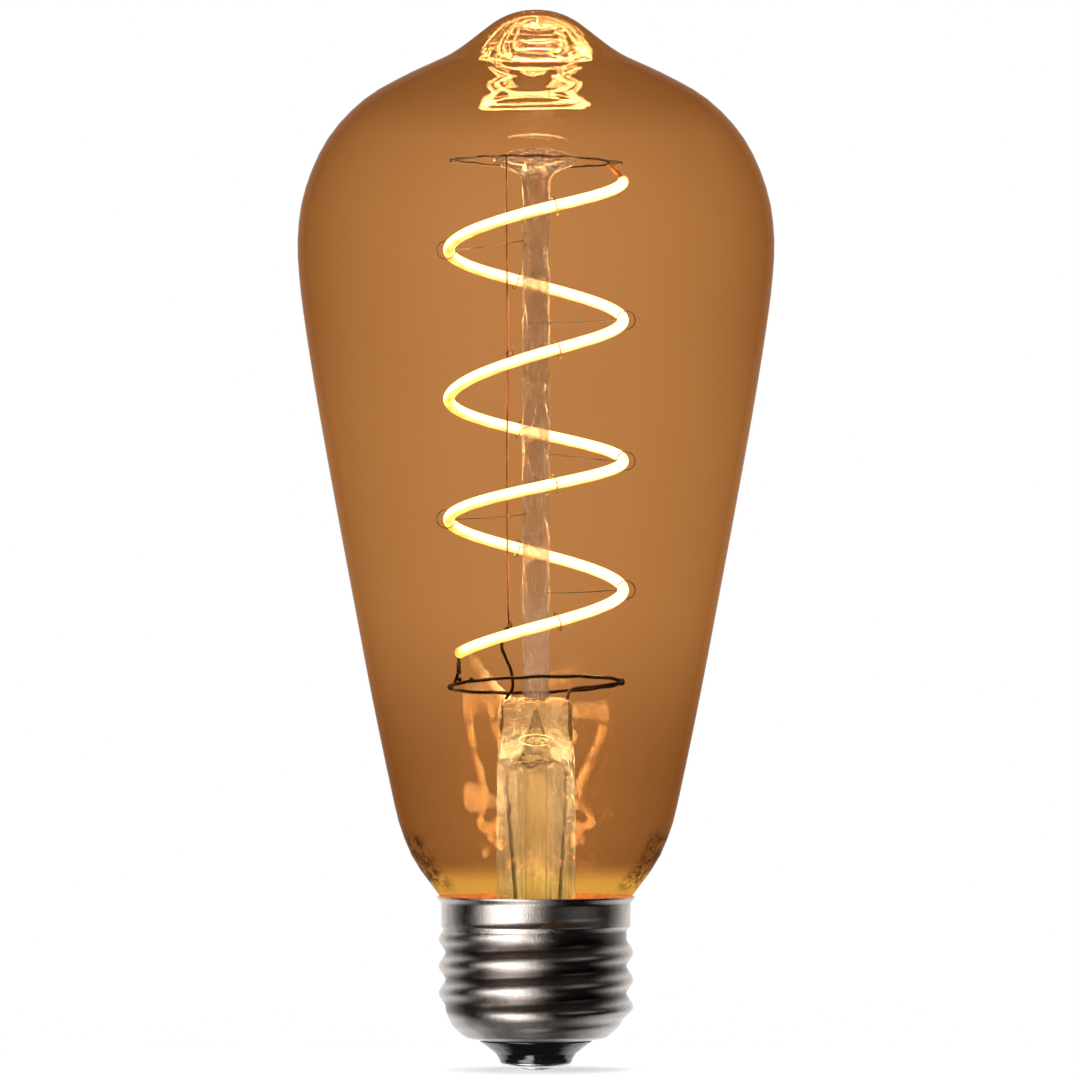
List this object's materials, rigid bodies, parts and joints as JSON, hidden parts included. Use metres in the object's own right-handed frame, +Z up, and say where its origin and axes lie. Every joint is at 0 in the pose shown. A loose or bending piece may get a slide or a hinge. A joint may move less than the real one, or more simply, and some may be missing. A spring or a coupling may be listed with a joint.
{
  "type": "smart light bulb",
  "caption": "Connected filament lamp: amber pear-shaped glass bulb round a spiral LED filament on a glass stem, with a medium screw cap that holds its driver and radio.",
  "frame": {"origin": "on the lamp's axis, at the flat face of the centre contact", "axes": "+Z up the lamp's axis, from the contact to the tip of the glass; -Y faces the viewer of the lamp's front, +X to that viewer's right"},
  "size_m": [0.064, 0.064, 0.1423],
  "materials": {
    "amber_glass": "clear, amber tinted",
    "stem_glass": "clear, slightly wavy",
    "rod_glass": "clear, fire polished",
    "phosphor": "matt phosphor silicone, lit",
    "filament_carrier": "satin",
    "led_dice": "satin",
    "nickel_wire": "drawn, slightly dull",
    "bronze_wire": "drawn, browned",
    "support_wire": "fine drawn molybdenum",
    "sealing_wire": "copper clad, oxidised red",
    "copper_wire": "tinned copper",
    "cap_nickel": "nickel plate, rolled, a little dull",
    "cement": "matt",
    "black_glass": "opaque, glossy",
    "contact_metal": "tinned",
    "solder": "satin",
    "liner": "matt",
    "board": "satin solder mask",
    "radio_board": "satin solder mask",
    "black_moulding": "matt",
    "capacitor_can": "satin",
    "rubber": "matt",
    "ferrite": "matt",
    "enamelled_copper": "enamelled",
    "fuse_body": "lacquered",
    "film_box": "gloss",
    "chip_ceramic": "satin",
    "resistor": "satin",
    "shield": "tinned steel",
    "gold_pins": "gold plate"
  },
  "bodies": {
    "root": {"glass_envelope": "amber_glass", "stem_glass": "stem_glass", "exhaust_tube": "stem_glass", "glass_rod": "rod_glass", "filament_coating": "phosphor", "filament_strip": "filament_carrier", "led_chips": "led_dice", "nickel_lead_left": "nickel_wire", "nickel_lead_right": "nickel_wire", "filament_post": "nickel_wire", "filament_tab_top": "nickel_wire", "filament_tab_bottom": "nickel_wire", "lower_ring": "nickel_wire", "top_ring": "nickel_wire", "lead_welds": "nickel_wire", "return_wire": "bronze_wire", "support_hook_01": "support_wire", "support_hook_02": "support_wire", "support_hook_03": "support_wire", "support_hook_04": "support_wire", "support_hook_05": "support_wire", "support_hook_06": "support_wire", "support_hook_07": "support_wire", "support_hook_08": "support_wire", "support_hook_09": "support_wire", "support_hook_10": "support_wire", "support_hook_11": "support_wire", "support_hook_12": "support_wire", "seal_wire_left": "sealing_wire", "seal_wire_right": "sealing_wire", "copper_lead_left": "copper_wire", "copper_lead_right": "copper_wire", "live_wire": "copper_wire", "neutral_wire": "copper_wire", "screw_shell": "cap_nickel", "cap_cement": "cement", "base_insulator": "black_glass", "contact_plate": "contact_metal", "contact_solder": "solder", "cap_liner": "liner", "driver_board": "board", "radio_board": "radio_board", "driver_chip": "black_moulding", "bridge_rectifier": "black_moulding", "freewheel_diode": "black_moulding", "radio_chip": "black_moulding", "capacitor_can": "capacitor_can", "capacitor_bung": "rubber", "choke_core": "ferrite", "choke_winding": "enamelled_copper", "fuse_resistor": "fuse_body", "film_capacitor": "film_box", "ceramic_capacitors": "chip_ceramic", "radio_antenna": "chip_ceramic", "sense_resistors": "resistor", "radio_shield": "shield", "radio_pins": "gold_pins"}
  },
  "joints": []
}
